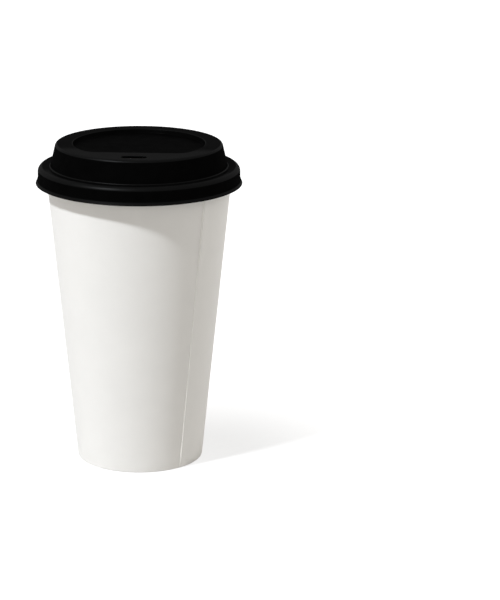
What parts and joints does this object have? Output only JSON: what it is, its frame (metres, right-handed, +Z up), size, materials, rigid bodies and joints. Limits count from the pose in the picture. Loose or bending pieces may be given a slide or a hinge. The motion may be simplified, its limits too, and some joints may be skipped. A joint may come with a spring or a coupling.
{
  "type": "lidded paper coffee cup",
  "caption": "Tall tapered takeaway cup of white coated paper with a side seam and rolled rim, under a black pressed-on dome lid with a sip opening.",
  "frame": {"origin": "middle of the foot, on the plane that the cup stands on", "axes": "+Z up along the cup's axis; -Y towards the sip opening; +X to the right of a drinker's view from the sip side"},
  "size_m": [0.0938, 0.0938, 0.148],
  "materials": {
    "coated_paper": "smooth white coated paperboard, low sheen",
    "black_plastic": "thermoformed black polystyrene, satin"
  },
  "bodies": {
    "cup": {"cup_wall": "coated_paper", "cup_base": "coated_paper"},
    "lid": {"lid": "black_plastic"}
  },
  "joints": [
    {"name": "lid_lift", "type": "slide", "parent": "cup", "child": "lid", "axis": [0, 0, 1], "range_m": [0, 0.06]}
  ]
}
